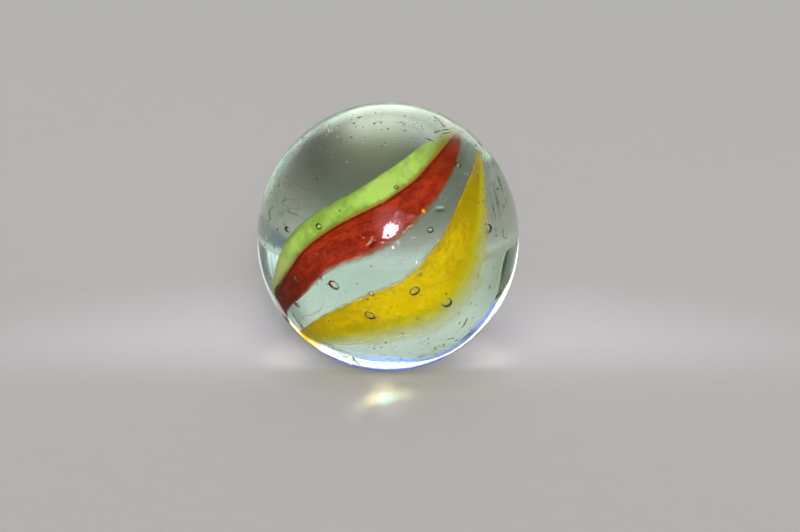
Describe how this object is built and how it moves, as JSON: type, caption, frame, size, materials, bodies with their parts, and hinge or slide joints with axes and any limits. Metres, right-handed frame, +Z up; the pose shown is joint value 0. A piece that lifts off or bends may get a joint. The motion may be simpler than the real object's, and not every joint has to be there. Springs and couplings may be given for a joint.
{
  "type": "glass marble",
  "caption": "Clear glass playing marble, slightly out of round, with green, red and yellow ribbons of coloured glass sealed inside it and small air bubbles over them.",
  "frame": {"origin": "centre of the ball", "axes": "+Z up along the ball's slightly longer way, -Y towards the side that the ribbons lie near, +X to the right of that side"},
  "size_m": [0.016, 0.016, 0.0164],
  "materials": {
    "clear_glass": "fire-polished, with fine scuffs and pits",
    "green_glass": "opaque lime green, cloudy",
    "red_glass": "opaque brick red, mottled along its length",
    "yellow_glass": "yellow, mottled, thinning to a haze at one side"
  },
  "bodies": {
    "root": {"ball": "clear_glass", "green_ribbon": "green_glass", "red_ribbon": "red_glass", "yellow_ribbon": "yellow_glass"}
  },
  "joints": []
}
